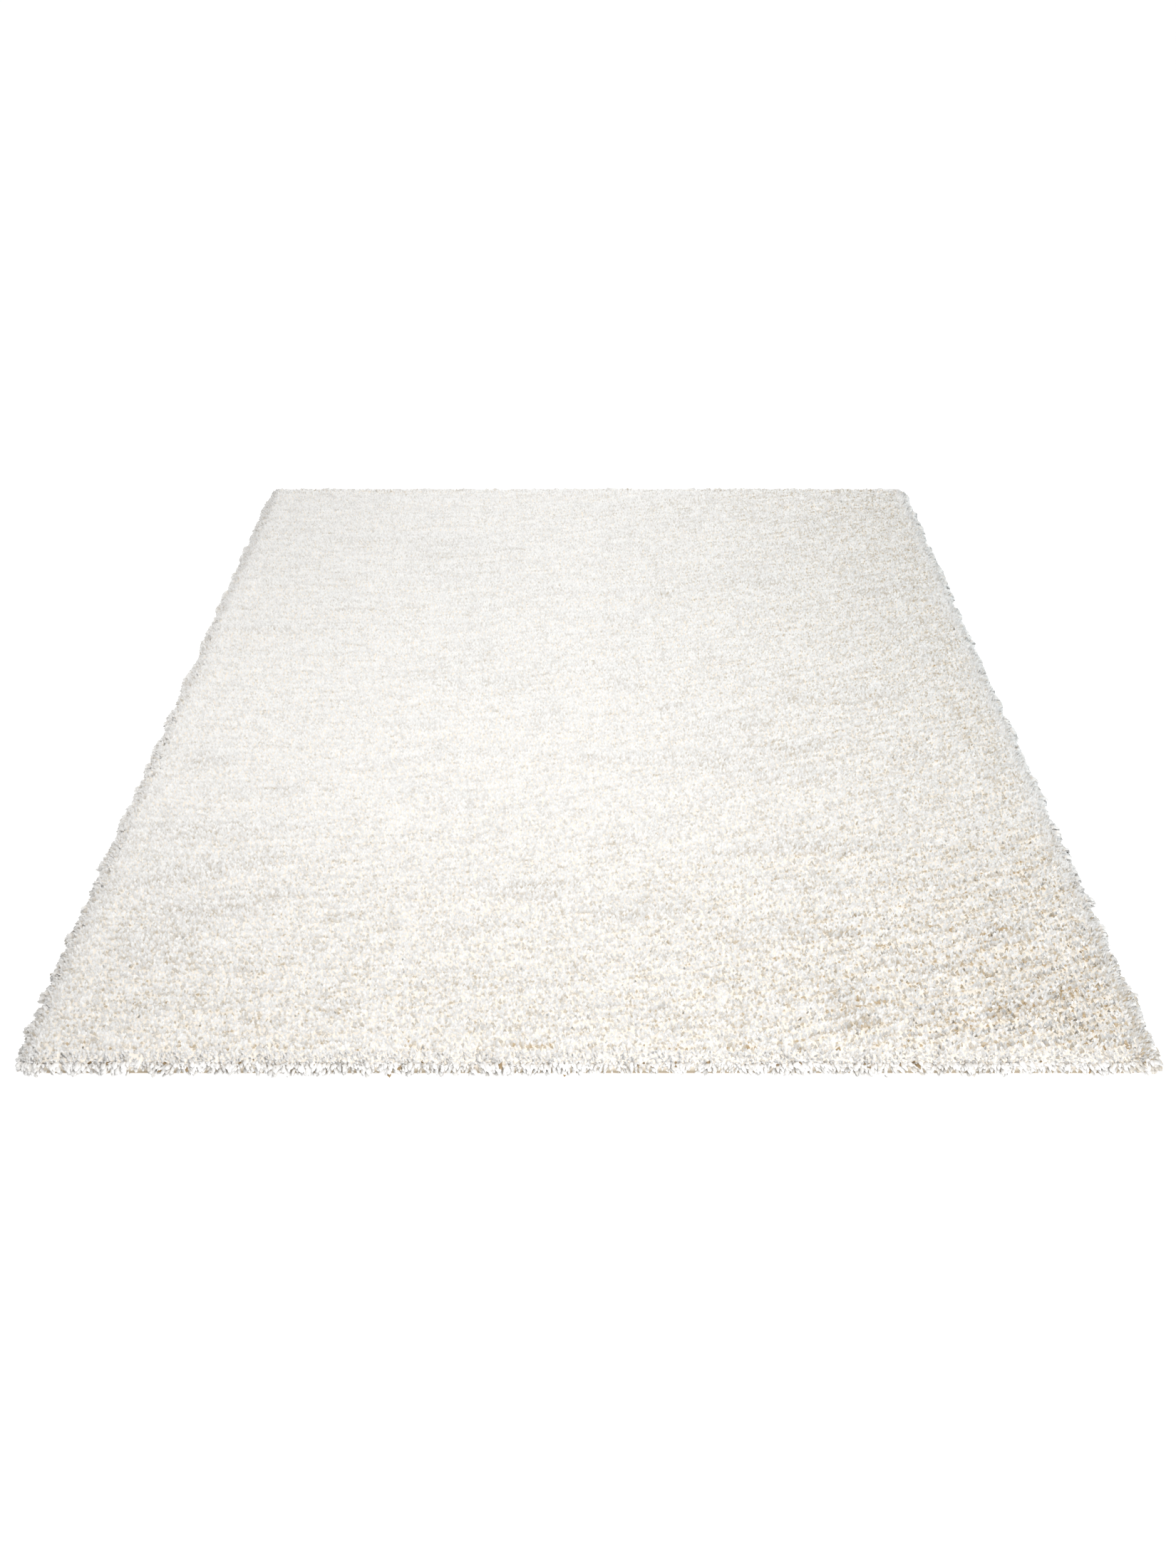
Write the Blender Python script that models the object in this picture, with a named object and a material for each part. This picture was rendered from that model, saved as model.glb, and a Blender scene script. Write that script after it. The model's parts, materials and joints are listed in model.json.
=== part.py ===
"""Shag rug: one flat, thick pile slab, lumpy on top, with locks of pile round its rim.

The rug lies on the floor at z = 0, its width along X and its length along Y, with
its origin in the middle of its underside. Everything is in metres.
"""

import random

import bmesh
import bpy
from mathutils import Vector, noise

# The whole rug, from lock tip to lock tip
RUG_WIDTH = 1.600
RUG_LENGTH = 2.300
PILE_HEIGHT = 0.030

# The slab ends at its rim, where the locks spread out from it
LOCK_REACH = 0.024
RIM_X = RUG_WIDTH / 2 - LOCK_REACH
RIM_Y = RUG_LENGTH / 2 - LOCK_REACH

# A corner is a rounded square of this size: at 2 it is a round arc, and higher is squarer
CORNER_SIZE = 0.062
CORNER_SQUARENESS = 4.0

# The side's profile, top to bottom: its inset from the rim, and height above the floor
SHOULDER = {"inset": 0.018, "height": 0.0285}
BROW = {"inset": 0.005, "height": 0.0235}
SOLE = {"inset": 0.003, "height": 0.0}

# The top's grid. On the long sides each of its rows has one lock.
ROWS = 80
COLUMNS = 20
LOCKS_PER_COLUMN = 3

# A lock's share of its pitch at the root, more or less; the rest is the gap beside it
LOCK_SHARE = 0.78
SHARE_SPREAD = 0.07

# A lock's sections past its root: how far out, how wide beside the root, and how high
# its upper side is. Its lower side lies on the floor.
LOCK_SECTIONS = (
    {"along": 0.52, "width": 0.86, "top": 0.0165},
    {"along": 1.00, "width": 0.45, "top": 0.0060},
)
# How far neighbouring locks reach, as a share of the whole reach, in turn
LOCK_LENGTHS = (1.00, 0.80, 0.93, 0.70, 0.97, 0.86, 0.74)
LOCK_LEAN = 0.005
SEED = 11

# The pile's relief: low rows across the rug, broken into lumps, over broad swells
ROW_SIZE = (0.150, 0.062)
ROW_HEIGHT = 0.0060
SWELL_SIZE = 0.42
SWELL_HEIGHT = 0.0035
RIM_LUMP_SIZE = 0.085
RIM_LUMP = 0.0050
# Each of these is read from its own level of the noise, so that they don't repeat each other
ROW_LEVEL = 0.0
SWELL_LEVEL = 5.0
RIM_LEVEL = 9.0

PILE_COLOUR = (0.90, 0.88, 0.83, 1.0)
PILE_ROUGHNESS = 0.95
SHARP_ANGLE = 0.7


def clear_scene():
    for obj in list(bpy.data.objects):
        bpy.data.objects.remove(obj, do_unlink=True)


def clamp(value, limit):
    return max(-limit, min(limit, value))


def corner_foot(x, y):
    """The nearest point of the inner rectangle, whose corners are the centres of the rounded ones."""
    return Vector((clamp(x, RIM_X - CORNER_SIZE), clamp(y, RIM_Y - CORNER_SIZE)))


def outward(x, y):
    """The direction out of the rug, level with the floor, at a point beyond the inner rectangle."""
    return (Vector((x, y)) - corner_foot(x, y)).normalized()


def roundness(direction):
    """How far a rounded corner reaches in a direction, against how far it does straight on."""
    power = CORNER_SQUARENESS
    return (abs(direction.x) ** power + abs(direction.y) ** power) ** (-1 / power)


def rim_point(x, y, inset):
    """The point of the rounded outline, drawn in by inset, that lies outward of (x, y)."""
    out = outward(x, y)
    return corner_foot(x, y) + out * roundness(out) * (CORNER_SIZE - inset)


def pile_relief(x, y):
    """How far the top stands above its mean height at (x, y)."""
    rows = noise.noise(Vector((x / ROW_SIZE[0], y / ROW_SIZE[1], ROW_LEVEL)))
    swells = noise.noise(Vector((x / SWELL_SIZE, y / SWELL_SIZE, SWELL_LEVEL)))
    return ROW_HEIGHT * rows + SWELL_HEIGHT * swells


def rim_lump(x, y):
    """How far the side swells out at (x, y)."""
    return RIM_LUMP * noise.noise(Vector((x / RIM_LUMP_SIZE, y / RIM_LUMP_SIZE, RIM_LEVEL)))


def flat_top(bm):
    """A flat grid as large as the top within its shoulder, its border cut where the locks begin and end."""
    bmesh.ops.create_grid(bm, x_segments=COLUMNS, y_segments=ROWS, size=1.0)
    half_size = Vector((RIM_X - SHOULDER["inset"], RIM_Y - SHOULDER["inset"], 1.0))
    bmesh.ops.scale(bm, vec=half_size, verts=bm.verts)
    front_and_back = []
    sides = []
    for edge in bm.edges:
        if edge.is_boundary:
            run = edge.verts[1].co - edge.verts[0].co
            (front_and_back if abs(run.x) > abs(run.y) else sides).append(edge)
    bmesh.ops.subdivide_edges(bm, edges=front_and_back, cuts=2 * LOCKS_PER_COLUMN - 1)
    bmesh.ops.subdivide_edges(bm, edges=sides, cuts=1)


def border_ring(bm):
    """The border's points in order, anticlockwise from the front left corner."""
    start = min((v for v in bm.verts if v.is_boundary), key=lambda v: v.co.x + v.co.y)
    ring = [start]
    step = max(
        (e.other_vert(start) for e in start.link_edges if e.is_boundary),
        key=lambda v: v.co.x,
    )
    while step is not start:
        ring.append(step)
        ends = [e.other_vert(step) for e in step.link_edges if e.is_boundary]
        step = ends[0] if ends[1] is ring[-2] else ends[1]
    return ring


def space_locks(ring, chance):
    """Moves every second point so that each lock is wider than the gap beside it."""
    for i in range(1, len(ring), 2):
        after = ring[(i + 1) % len(ring)]
        share = LOCK_SHARE + chance.uniform(-SHARE_SPREAD, SHARE_SPREAD)
        ring[i].co = ring[i - 1].co.lerp(after.co, share)


def shape_top(bm):
    """Rounds the grid's corners and raises it to the pile's lumpy height."""
    for vert in bm.verts:
        foot = corner_foot(vert.co.x, vert.co.y)
        past = vert.co.xy - foot
        if past.length > 0:
            out = past.normalized()
            past = out * roundness(out) * max(abs(past.x), abs(past.y))
        place = foot + past
        height = SHOULDER["height"] if vert.is_boundary else PILE_HEIGHT
        vert.co = (place.x, place.y, height + pile_relief(place.x, place.y))


def ring_edges(bm, ring):
    return [bm.edges.get((a, b)) for a, b in zip(ring, ring[1:] + ring[:1])]


def next_ring(bm, ring, profile, lumpy):
    """Extrudes the ring to the next line of the side's profile."""
    made = bmesh.ops.extrude_edge_only(bm, edges=ring_edges(bm, ring))["geom"]
    new = {item for item in made if isinstance(item, bmesh.types.BMVert)}
    lower = []
    for vert in ring:
        below = next(e.other_vert(vert) for e in vert.link_edges if e.other_vert(vert) in new)
        inset = profile["inset"] - (rim_lump(vert.co.x, vert.co.y) if lumpy else 0.0)
        place = rim_point(vert.co.x, vert.co.y, inset)
        below.co = (place.x, place.y, profile["height"])
        lower.append(below)
    return lower


def grow_lock(bm, face, reach, lean):
    """Draws one lock out of a face of the side, curving down to lie on the floor."""
    middle = face.calc_center_median()
    out = outward(middle.x, middle.y)
    aside = Vector((-out.y, out.x))
    root = rim_point(middle.x, middle.y, 0.0)
    offsets = [(v.co.xy - middle.xy).dot(aside) for v in face.verts]
    half_width = (max(offsets) - min(offsets)) / 2
    for section in LOCK_SECTIONS:
        face = bmesh.ops.extrude_discrete_faces(bm, faces=[face])["faces"][0]
        centre = root + out * (reach * section["along"]) + aside * (lean * section["along"])
        middle = face.calc_center_median()
        for vert in face.verts:
            side = 1.0 if (vert.co.xy - middle.xy).dot(aside) > 0 else -1.0
            place = centre + aside * (side * half_width * section["width"])
            height = section["top"] if vert.co.z > middle.z else 0.0
            vert.co = (place.x, place.y, height)


def grow_locks(bm, upper, lower, chance):
    """A lock on every second face of the band between two rings."""
    for i in range(0, len(upper), 2):
        corners = {upper[i], upper[i + 1], lower[i], lower[i + 1]}
        face = next(f for f in upper[i].link_faces if set(f.verts) == corners)
        reach = LOCK_REACH * LOCK_LENGTHS[i // 2 % len(LOCK_LENGTHS)]
        grow_lock(bm, face, reach, chance.uniform(-LOCK_LEAN, LOCK_LEAN))


def pile_material():
    material = bpy.data.materials.new("cream_pile")
    material.use_nodes = True
    shader = material.node_tree.nodes["Principled BSDF"]
    shader.inputs["Base Color"].default_value = PILE_COLOUR
    shader.inputs["Roughness"].default_value = PILE_ROUGHNESS
    shader.inputs["Metallic"].default_value = 0.0
    return material


def shag_rug():
    chance = random.Random(SEED)
    bm = bmesh.new()
    flat_top(bm)
    shoulder = border_ring(bm)
    space_locks(shoulder, chance)
    shape_top(bm)
    brow = next_ring(bm, shoulder, BROW, lumpy=True)
    sole = next_ring(bm, brow, SOLE, lumpy=False)
    bmesh.ops.edgeloop_fill(bm, edges=ring_edges(bm, sole))
    grow_locks(bm, brow, sole, chance)
    bmesh.ops.recalc_face_normals(bm, faces=bm.faces)
    mesh = bpy.data.meshes.new("shag_rug")
    bm.to_mesh(mesh)
    bm.free()
    mesh.materials.append(pile_material())
    mesh.shade_smooth()
    mesh.set_sharp_from_angle(angle=SHARP_ANGLE)
    return bpy.data.objects.new("shag_rug", mesh)


def main():
    clear_scene()
    rug = bpy.data.collections.new("shag_rug")
    bpy.context.scene.collection.children.link(rug)
    rug.objects.link(shag_rug())


main()
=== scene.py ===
"""Shag rug: a backing, a bed of yarn, the pile's tips in wavy rows over it, and locks at the rim that
fall outwards."""

import json
import math

import bmesh
import bpy
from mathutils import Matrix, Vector, noise
from mathutils.bvhtree import BVHTree

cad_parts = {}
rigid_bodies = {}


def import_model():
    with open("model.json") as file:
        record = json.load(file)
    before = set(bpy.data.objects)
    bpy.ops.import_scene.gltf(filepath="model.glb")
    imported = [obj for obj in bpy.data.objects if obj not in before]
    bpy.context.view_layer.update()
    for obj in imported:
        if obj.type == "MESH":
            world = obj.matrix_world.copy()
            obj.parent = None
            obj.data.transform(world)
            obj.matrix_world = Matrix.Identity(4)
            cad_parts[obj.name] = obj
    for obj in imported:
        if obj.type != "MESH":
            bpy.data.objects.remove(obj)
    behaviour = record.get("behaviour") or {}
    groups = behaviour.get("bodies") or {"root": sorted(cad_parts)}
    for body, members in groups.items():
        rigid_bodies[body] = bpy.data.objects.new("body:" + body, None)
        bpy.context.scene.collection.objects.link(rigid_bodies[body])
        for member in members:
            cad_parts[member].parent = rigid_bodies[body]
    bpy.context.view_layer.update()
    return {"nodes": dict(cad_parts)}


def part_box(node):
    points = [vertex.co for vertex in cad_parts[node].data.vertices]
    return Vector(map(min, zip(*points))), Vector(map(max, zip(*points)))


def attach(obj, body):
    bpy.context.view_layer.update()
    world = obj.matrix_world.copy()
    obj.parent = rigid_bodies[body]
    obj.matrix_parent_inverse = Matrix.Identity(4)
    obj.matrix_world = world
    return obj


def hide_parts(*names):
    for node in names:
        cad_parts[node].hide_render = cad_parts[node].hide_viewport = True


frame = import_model()
LOW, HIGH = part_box("shag_rug")
WIDTH = HIGH[0] - LOW[0]
LENGTH = HIGH[1] - LOW[1]
RIGHT_EDGE = WIDTH / 2
BACK_EDGE = LENGTH / 2

# The camera: where it stands, before the middle of the front edge, and how it looks down
CAMERA_BEFORE_FRONT = 1.893
CAMERA_HEIGHT = 1.540
CAMERA_PITCH = math.radians(29.56)
CAMERA_LENS = 40.22
SENSOR_HEIGHT = 36.0

# The lights: name, place, what each one looks at, its side, its watts and its colour
LIGHTS = (
    ("overhead", (0.0, -0.1, 2.4), (0.0, -0.1, 0.0), 1.2, 25.0, (1.0, 0.997, 0.990)),
    ("overhead_front", (0.0, -0.8, 2.3), (0.0, -0.7, 0.0), 1.2, 9.0, (1.0, 1.0, 1.0)),
    ("left", (-2.3, -0.2, 0.5), (-0.4, -0.2, 0.0), 1.2, 11.5, (1.0, 0.985, 0.96)),
    ("right", (2.3, 0.2, 0.5), (0.4, 0.1, 0.0), 1.2, 8.5, (0.70, 0.92, 1.0)),
    ("back", (0.1, 2.6, 1.6), (0.0, 0.3, 0.0), 1.2, 33.0, (1.0, 0.998, 0.992)),
    ("front", (0.5, -3.0, 1.1), (0.05, -0.8, 0.0), 1.8, 49.0, (1.0, 0.995, 0.99)),
)
WORLD_STRENGTH = 0.25
WHITE = (1.0, 1.0, 1.0, 1.0)

# The floor lies a little under the rug and glows, so that it is as pale as the studio's backdrop
FLOOR_HALF_SIDE = 40.0
FLOOR_DROP = 0.0002
FLOOR_COLOUR = (0.95, 0.95, 0.95, 1.0)
FLOOR_ROUGHNESS = 0.9
FLOOR_GLOW = 0.78

# The rug's outline: a corner is a rounded square, as in the solid
CORNER_SIZE = 0.062
CORNER_SQUARENESS = 4.0
CORNER_STEPS = 24
# A rounded corner's length, in corner sizes
CORNER_RUN = 1.85

# The backing
BACKING_THICKNESS = 0.0020
BACKING_INSET = 0.014
BACKING_CELL = 0.1
BACKING_COLOUR = (0.72, 0.66, 0.55, 1.0)
BACKING_ROUGHNESS = 0.9

# The bed of yarn on the backing, how far it lies under the solid's surface, and its lumps
BED_DEPTH = 0.0045
BED_INSET = 0.0105
BED_CELL = 0.0092
BED_GAP = 0.0003
BED_LUMP_HEIGHT = 0.0012
BED_LUMP_SIZE = (0.016, 0.012)
BED_RIM_LUMP_SHARE = 0.5
# Its height at each distance from the rug's outer edge, and the height up to which the rim shapes it alone
BED_SLOPE = (
    (0.0105, 0.0030),
    (0.0115, 0.0090),
    (0.0135, 0.0122),
    (0.0163, 0.0150),
    (0.0208, 0.0175),
    (0.0257, 0.0195),
    (0.0305, 0.0210),
    (0.0400, 0.0235),
    (0.0550, 0.0265),
)
BED_RIM_HEIGHT = 0.021
# The bed is painted darker low down, as shade where less light gets in, and tan higher up, as painted warm
# shade
BED_SHADE_HEIGHTS = (0.004, 0.012)
BED_PAINTED_SHADE_COLOUR = (0.30, 0.25, 0.18, 1.0)
BED_HIGH_COLOUR = (0.90, 0.84, 0.75, 1.0)
BED_ROUGHNESS = 1.0
RAY_HEIGHT = 0.2
RAY_LENGTH = 1.0

# The yarn's colour along a strand, with painted shade: darker and warmer towards the root, where shade falls
# among the other strands, and palest at the tip
YARN_ROOT_SHADE = (0.80, 0.74, 0.66, 1.0)
YARN_MIDDLE_SHADE = (0.912, 0.898, 0.872, 1.0)
YARN_TIP = (0.990, 0.987, 0.978, 1.0)
YARN_STOPS = ((0.20, YARN_ROOT_SHADE), (0.48, YARN_MIDDLE_SHADE), (0.84, YARN_TIP))
YARN_ROUGHNESS = 0.9
YARN_SPECULAR = 0.25
# A ramp's new stop is put in here, and then moved to its own place
NEW_STOP = 0.5
# Painted shade: how fast red, green and blue fade with depth among the other strands, how much the colour
# warms on the way, between which depths it warms and how late, and the greatest depth
YARN_SHADE_FADE = (0.98, 1.0, 1.01)
YARN_SHADE_WARMTH = (-0.44, 0.0, 0.82)
YARN_SHADE_WARMING = (0.20, 0.95)
YARN_SHADE_WARMING_POWER = 1.5
YARN_SHADE_DEPTH = 2.0
YARN_STEPS = 17
# On the yarn's map each strand has one column, and its column sets its painted shade
STRAND_COLUMNS = 49
STRAND_MAP_WIDTH = 0.02

# How much rougher the pile gets: where that starts from the middle, over what distance, and how sharply
ROUGH_RIGHT_START = -0.1
ROUGH_RIGHT_SPAN = 0.9
ROUGH_RIGHT_POWER = 1.6
ROUGH_FRONT_START = 0.45
ROUGH_FRONT_SPAN = 0.65
ROUGH_BOTH = 0.5
# The front side is calmer, but for its two corners
FRONT_SIDE_WIDTH = 0.075
FRONT_SIDE_SPAN = 0.045
FRONT_SIDE_CALM = 0.40
FRONT_CORNER_WIDTH = 0.09
FRONT_CORNER_SPAN = 0.06
FRONT_CORNER_ROUGH = 0.35

# A strand has three sides, because there are so many strands. Its root's corners lie here on its map.
YARN_SIDES = 3
ROOT_CORNERS = ((0.0, 0.0), (1.0, 0.0), (1.0, 0.02))
# No yarn goes into the floor
YARN_CLEARANCE = 0.0004
# Each strand's thickness and size, as shares of the drawn one
THICKNESS_STRAY = (0.85, 1.2)
SIZE_STRAY = (0.92, 1.06)

# How much finer detail noise has, with more of it in creases and lumps, and how strong that detail is,
# with less of it in the rows
NOISE_DETAIL = 1.0
CREASE_DETAIL = 2.0
LUMP_DETAIL = 2.0
NOISE_FINENESS = 0.5
ROW_FINENESS = 0.4
# The heights at which these kinds of noise are read, so that in one tree no two of them are alike
PATCH_LEVEL = 0.0
FURROW_LEVEL = 5.0
ROW_LEVEL = 10.0
CREASE_LEVEL = 11.0
KNOB_LEVEL = 5.0
# What the trees keep on the yarn only while they run
HELP_ATTRIBUTES = ("column", "way", "face", "yaw", "deep")

# The pile's yarn tips stand in a loose grid, made in bands from front to back
TIP_SPACING = 0.0045
TIP_BANDS = 5
# Each kind of random value of a tip has its own seed
LEAN_SEED, HEIGHT_SEED, SPIN_SEED, THICKNESS_SEED, SHADE_SEED, RELIEF_SEED = range(1, 7)
# The distance over which a row's slope is measured, and the side of the rows that gets painted shade
ROW_STEP = 0.003
ROW_SHADED_SIDE = (0.5, -0.85, 0.0)
TIP_LOOK = {
    # A tip's size, the lowest surface that bears one beside the rim, and how wide the rim is there
    "Length": 0.0075,
    "Radius": 0.0052,
    "Lowest": 0.0240,
    "Rim width": 0.032,
    # The rows run along X and rise to the right, more so further to the right. Their sides to the front and
    # the right have painted shade.
    "Row slope": 0.20,
    "Row bend": 0.15,
    "Row run": 0.075,
    "Row pitch": 0.013,
    "Row lean": 1.2,
    "Row relief": 1.9,
    "Row height": 0.0010,
    "Row shade": 0.60,
    # Long faint furrows, drawn in painted shade only
    "Furrow run": 0.220,
    "Furrow pitch": 0.010,
    "Furrow shade": 0.11,
    # Creases between the rows, in patches: sunk, and darkened with painted shade
    "Crease run": 0.050,
    "Crease pitch": 0.011,
    "Crease width": 0.085,
    "Crease depth": 0.0016,
    "Crease shade": 0.40,
    "Patch run": 0.070,
    "Patch pitch": 0.030,
    "Patch gain": 0.8,
    "Patch share": 0.45,
    # More creases where the front turns down, with more painted shade: how far in from the front edge, in
    # broken lines
    "Fold place": 0.040,
    "Fold width": 0.022,
    "Fold shade": 0.66,
    "Fold run": 0.030,
    "Fold pitch": 0.010,
    "Fold gain": 2.0,
    "Fold share": 0.7,
    # Tufts, with painted shade in their hollows, which stand uneven along the back edge
    "Tuft size": 0.0065,
    "Tuft height": 0.0005,
    "Tuft shade": 0.05,
    "Tuft lean": 0.3,
    "Crest height": 0.014,
    "Crest start": 0.060,
    "Crest span": 0.030,
    # Each tip's own ways, and its own random share of painted shade
    "Stray lean": 0.15,
    "Stray height": 0.0004,
    "Stray relief": 0.32,
    "Stray shade": 0.42,
    "Stray power": 3.0,
    # Beside the rim the pile falls outwards, and at the left and right its painted shade is lighter
    "Edge width": 0.050,
    "Edge lean": 0.9,
    "Side start": 0.06,
    "Side span": 0.04,
    "Side paling": 0.3,
    # How rough the pile is at its calmest, what it gains to the right and to the front, and how far
    # roughness deepens the painted shade
    "Calm": 0.50,
    "Right": 0.90,
    "Fore": 0.62,
    "Shade power": 0.75,
    "Softness": 1.8,
}

# The rim's yarn, in a fan of layers from the floor up. Distances are from the rug's outer edge.
RIM_LAYERS = (
    {"root": (0.018, 0.0040), "tip": (0.000, 0.0028), "bow": 0.0015},
    {"root": (0.018, 0.0060), "tip": (0.001, 0.0058), "bow": 0.0030},
    {"root": (0.019, 0.0085), "tip": (0.0025, 0.0095), "bow": 0.0035},
    {"root": (0.020, 0.0105), "tip": (0.0055, 0.0132), "bow": 0.0030},
)
RIM_SPACING = 0.0044
RIM_RADIUS = 0.0032
# A strand's thickness along it, where its joints are, and how its bow differs from one to the next
RIM_TAPER = (0.7, 1.0, 0.95)
RIM_JOINTS = (0.0, 0.45, 0.80, 1.0)
RIM_BOW_CHANGES = (-0.0015, 0.0, 0.0015)
RIM_LOOK = {
    # Neighbours are drawn together into locks, and the locks end in round lumps
    "Lock size": 0.020,
    "Lock pull": 1.9,
    "Lock reach": 0.55,
    "Notch size": 0.021,
    "Notch width": 0.35,
    "Notch power": 0.5,
    "Longest": 1.10,
    # The rim swells in and out, and its upper tips also swell up and down but for those at the front
    "Lump spacing": 0.034,
    "Lump size": 0.014,
    "Knob spacing": 0.014,
    "Knob height": 0.0,
    "Knob start": 0.1,
    "Knob span": 0.2,
    # Each strand's own ways
    "Stray": 0.12,
    "Slide": 0.0022,
    "Further out": 0.0012,
    "Further in": 0.0024,
    "Lift": 0.0008,
    "Pitch": 0.10,
    "Roll": 0.45,
    # Creases run down the side, at the same places in every layer, in patches; they are sunk in and darkened
    # with painted shade
    "Crease size": 0.009,
    "Crease width": 0.22,
    "Crease depth": 0.0030,
    "Crease shade": 0.25,
    "Crease share": 1.0,
    "Patch size": 0.06,
    "Patch gain": 1.6,
    "Patch share": 0.5,
    # The strands' shading, their painted shade, and the few that are painted as dark specks of shade at the
    # front
    "Facing": 0.05,
    "Softness": 1.0,
    "Relief": 0.28,
    "Grain size": 0.0065,
    "Grain step": 3.7,
    "Grain shade": 0.5,
    "Spread": 0.25,
    "Spread power": 3.0,
    "Depth": 0.06,
    "Speck share": 0.01,
    "Speck depth": 1.2,
    # How rough the rim is at its calmest, and what it gains to the right and to the front
    "Calm": 0.65,
    "Right": 0.0,
    "Fore": 0.30,
}
# Each layer above the lowest is pulled less and has less painted shade
RIM_PULL_STEP = 0.3
RIM_SHADE_STEP = 0.015
# Above the layers, short tips stand out of the side: their inset, height and steepness
RIM_TIPS = (
    (0.0085, 0.0160, 34),
    (0.0120, 0.0188, 42),
    (0.0155, 0.0210, 50),
    (0.0192, 0.0229, 58),
    (0.0230, 0.0244, 65),
    (0.0268, 0.0257, 71),
    (0.0306, 0.0268, 77),
)
RIM_TIP_SPACING = 0.0048
RIM_TIP_LENGTH = 0.0095
RIM_TIP_RADIUS = 0.0050
RIM_TIP_TURNS = (-14, 0, 14)
RIM_TIP_LOOK = {
    **RIM_LOOK,
    "Lock pull": 0.8,
    "Lock reach": 0.2,
    "Lump size": 0.006,
    "Knob height": 0.008,
    "Stray": 0.4,
    "Crease share": 0.9,
    "Facing": 0.0,
    "Softness": 1.4,
    "Relief": 0.26,
    "Spread": 0.40,
    "Depth": 0.03,
    "Speck share": 0.0,
}
# The lowest rows of them show specks painted dark, where shade falls between the strands
RIM_SPECK_ROWS = 2
RIM_SPECK_SHARE = 0.03
# Seeds: each layer's number seeds its strands' aims. Their faces and their places are seeded further on,
# and each kind of value that goes with the places is counted up from there.
SEED_FACES = 40
SEED_PLACES = 20
INSET_SEED, LIFT_SEED, PITCH_SEED, ROLL_SEED, SIZE_SEED, THICK_SEED = range(1, 7)
PICK_SEED, SPREAD_SEED, SPECK_SEED = range(7, 10)
# A strand is picked by a number up to this, which wraps round the number of strands there are
HIGHEST_PICK = 100


# Materials


def material(name, roughness, colour=WHITE):
    """A new material, its node tree, and its shader."""
    made = bpy.data.materials.new(name)
    made.use_nodes = True
    shader = made.node_tree.nodes["Principled BSDF"]
    shader.inputs["Base Color"].default_value = colour
    shader.inputs["Roughness"].default_value = roughness
    return made, made.node_tree, shader


def ramp(nodes, stops):
    """A colour ramp with these places and colours."""
    made = nodes.new("ShaderNodeValToRGB")
    elements = made.color_ramp.elements
    while len(elements) < len(stops):
        elements.new(NEW_STOP)
    for element, (place, colour) in zip(elements, stops):
        element.position = place
        element.color = colour
    return made


def yarn_painted_shade_tints():
    """A strand's painted shade tint, from one far in among others, where shade falls, to one that stands
    clear.
    """
    tints = []
    start, end = YARN_SHADE_WARMING
    for step in range(YARN_STEPS):
        place = step / (YARN_STEPS - 1)
        depth = YARN_SHADE_DEPTH * (1 - place) ** 2
        warm = max(0.0, min(depth, end) - start) ** YARN_SHADE_WARMING_POWER
        colour = [math.exp(-fade * depth - more * warm) for fade, more in zip(YARN_SHADE_FADE, YARN_SHADE_WARMTH)]
        tints.append((place, (*colour, 1.0)))
    return tints


def yarn_material():
    """Cream yarn with painted shade: darker towards its root, and darker and warmer the further a strand
    stands in among others.
    """
    made, tree, shader = material("cream_yarn", YARN_ROUGHNESS)
    nodes, links = tree.nodes, tree.links
    place = nodes.new("ShaderNodeUVMap")
    place.uv_map = "OFBake"
    parts = nodes.new("ShaderNodeSeparateXYZ")
    links.new(place.outputs[0], parts.inputs[0])
    # Painted shade along the strand: darker and warmer towards the root
    along = ramp(nodes, YARN_STOPS)
    links.new(parts.outputs[1], along.inputs[0])
    # Painted shade by how far each strand stands in among the others
    painted_shade_tint = ramp(nodes, yarn_painted_shade_tints())
    links.new(parts.outputs[0], painted_shade_tint.inputs[0])
    both = nodes.new("ShaderNodeMix")
    both.data_type = "RGBA"
    both.blend_type = "MULTIPLY"
    both.inputs["Factor"].default_value = 1.0
    links.new(along.outputs[0], both.inputs["A"])
    links.new(painted_shade_tint.outputs[0], both.inputs["B"])
    links.new(both.outputs["Result"], shader.inputs["Base Color"])
    shader.inputs["Specular IOR Level"].default_value = YARN_SPECULAR
    return made


def bed_material():
    """The yarn between the tips, with painted shade: darker low down."""
    made, tree, shader = material("pile_depths", BED_ROUGHNESS)
    nodes, links = tree.nodes, tree.links
    place = nodes.new("ShaderNodeTexCoord")
    parts = nodes.new("ShaderNodeSeparateXYZ")
    links.new(place.outputs["Object"], parts.inputs[0])
    height = nodes.new("ShaderNodeMapRange")
    height.inputs["From Min"].default_value = BED_SHADE_HEIGHTS[0]
    height.inputs["From Max"].default_value = BED_SHADE_HEIGHTS[1]
    links.new(parts.outputs[2], height.inputs["Value"])
    # Painted shade: dark low down, paler higher up
    depth = ramp(nodes, ((0.0, BED_PAINTED_SHADE_COLOUR), (1.0, BED_HIGH_COLOUR)))
    links.new(height.outputs["Result"], depth.inputs[0])
    links.new(depth.outputs[0], shader.inputs["Base Color"])
    return made


def backing_material():
    return material("woven_backing", BACKING_ROUGHNESS, BACKING_COLOUR)[0]


def floor_material():
    made, _, shader = material("pale_floor", FLOOR_ROUGHNESS, FLOOR_COLOUR)
    shader.inputs["Emission Color"].default_value = WHITE
    shader.inputs["Emission Strength"].default_value = FLOOR_GLOW
    return made


# Shapes


def linked(name, data):
    """A new object of this data, in the scene."""
    made = bpy.data.objects.new(name, data)
    bpy.context.scene.collection.objects.link(made)
    return made


def new_object(name, mesh, made_of):
    """A new object in the scene, all of one material."""
    mesh.materials.clear()
    mesh.materials.append(made_of)
    return linked(name, mesh)


def drawn(bm, name):
    """The mesh of what was drawn."""
    mesh = bpy.data.meshes.new(name)
    bm.to_mesh(mesh)
    bm.free()
    return mesh


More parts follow.
